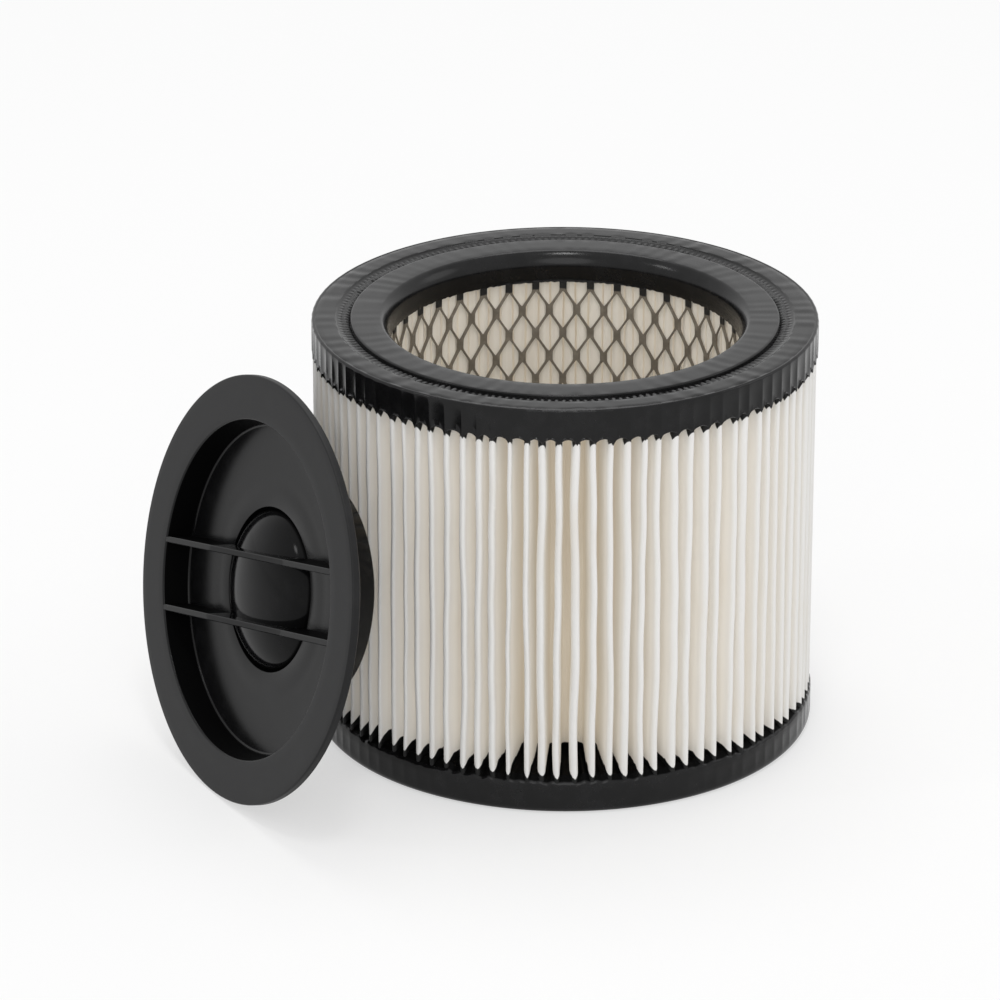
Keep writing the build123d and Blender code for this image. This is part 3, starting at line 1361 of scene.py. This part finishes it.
@dataclass(frozen=True)
class Studio:
    """A pale floor under soft white light, seen as in the photograph."""

    target: Colour = (-18.36, 10.47, 74.53)
    azimuth: float = -29.7
    elevation: float = 23.09
    distance: float = 1939.85
    lens: float = 211.97
    floor_size: float = 6.0
    floor_colour: Colour = (0.86, 0.86, 0.86)
    floor_lift: float = 0.55
    floor_gap: float = 0.1
    world_light: float = 0.72
    lamps: tuple[SoftBox, ...] = (
        SoftBox("front", (-0.85, -1.45, 0.95), 1.1, 4.5),
        SoftBox("edge", (-0.35, -0.61, 1.75), 0.3, 4.0),
        SoftBox("fill_right", (1.5, -0.7, 1.0), 0.8, 1.8),
        SoftBox("top_back", (0.3, 0.6, 1.9), 1.2, 10.0),
        SoftBox("glint", (-1.3, 0.35, 1.2), 0.22, 1.2, (-0.11, 0.0, 0.07)),
    )

    def set_up(self) -> None:
        """Make the camera, the lamps, the world and the floor."""
        self._camera()
        for lamp in self.lamps:
            lamp.hang()
        self._world()
        self._floor()
        bpy.context.scene.view_settings.view_transform = "Standard"

    def _camera(self) -> None:
        """Point the camera at the photograph's target from its angle."""
        data = bpy.data.cameras.new("photo_camera")
        data.lens = self.lens
        data.sensor_width = 36.0
        data.clip_end = 20.0
        camera = bpy.data.objects.new("photo_camera", data)
        turn, rise = math.radians(self.azimuth), math.radians(self.elevation)
        back = Vector((math.sin(turn) * math.cos(rise), -math.cos(turn) * math.cos(rise), math.sin(rise)))
        camera.location = (Vector(self.target) + back * self.distance) * MM
        camera.rotation_euler = (-back).to_track_quat("-Z", "Y").to_euler()
        bpy.context.scene.collection.objects.link(camera)
        bpy.context.scene.camera = camera

    def _seen(self, shader: Shader) -> Socket:
        """Return 1 for rays that show the background by themselves, in a mirror or through glass."""
        rays = shader.node("ShaderNodeLightPath", output="Is Camera Ray")
        return rays.larger(rays.sibling("Is Glossy Ray")).larger(rays.sibling("Is Transmission Ray"))

    def _world(self) -> None:
        """Light the scene evenly and show a white background."""
        world = bpy.data.worlds.new("studio_white")
        bpy.context.scene.world = world
        world.use_nodes = True
        shader = Shader(world.node_tree)
        light = shader.node("ShaderNodeBackground", {}, {"Color": WHITE, "Strength": self.world_light})
        white = shader.node("ShaderNodeBackground", {}, {"Color": WHITE, "Strength": 1.0})
        mixed = shader.blend(self._seen(shader), light, white)
        shader.node("ShaderNodeOutputWorld", {}, {"Surface": mixed})

    def _floor(self) -> None:
        """Lay a pale floor that keeps the object's shadow."""
        half = self.floor_size / 2
        mesh = bpy.data.meshes.new("floor")
        corners = [(-half, -half, 0), (half, -half, 0), (half, half, 0), (-half, half, 0)]
        mesh.from_pydata(corners, [], [[0, 1, 2, 3]])
        material = bpy.data.materials.new("floor_white")
        material.use_nodes = True
        shader = Shader(material.node_tree)
        matt = shader.node("ShaderNodeBsdfDiffuse", {}, {"Color": self.floor_colour})
        white = shader.node("ShaderNodeEmission", {}, {"Color": WHITE, "Strength": 1.0})
        lifted = shader.blend(self._seen(shader) * self.floor_lift, matt, white)
        shader.node("ShaderNodeOutputMaterial", {}, {"Surface": lifted})
        mesh.materials.append(material)
        floor = bpy.data.objects.new("floor", mesh)
        floor.location = (0.0, 0.0, -self.floor_gap * MM)
        bpy.context.scene.collection.objects.link(floor)


def reach(node: str) -> tuple[float, float, float]:
    """Return a node's outer radius, lowest and highest level, in millimetres."""
    low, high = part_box(node)
    return high.x / MM, low.z / MM, high.z / MM


def main() -> None:
    """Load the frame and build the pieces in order."""
    logging.basicConfig(level=logging.INFO, format="%(message)s")
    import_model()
    layout = PleatLayout()
    tip_radius, lower_face, upper_face = reach("pleated_media")
    mesh_radius, _, _ = reach("support_mesh")
    upper_radius, _, filter_top = reach("upper_end_cap")
    lower_radius, filter_bottom, _ = reach("lower_end_cap")
    sheet, ledge, clearance, potted = 0.9, 1.0, 0.3, 1.3
    bore = mesh_radius - sheet - ledge
    Studio().set_up()
    bottom, top = lower_face - potted, upper_face + potted
    PleatedMedia(layout, tip_radius, mesh_radius + clearance, bottom, top, potted).build()
    upper_cap = UpperEndCap(layout, upper_radius, bore, upper_face, filter_top)
    upper_cap.mould("upper_ring", "upper_end_cap", per_pleat=16)
    lower_cap = LowerEndCap(layout, lower_radius, bore, filter_bottom, lower_face)
    lower_cap.mould("lower_ring", "lower_end_cap", per_pleat=10)
    SupportMesh(mesh_radius, bottom, top).build()
    low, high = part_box("retainer_cap")
    RetainerCap(low.x / MM, high.y / MM).build()


if __name__ == "__main__":
    main()
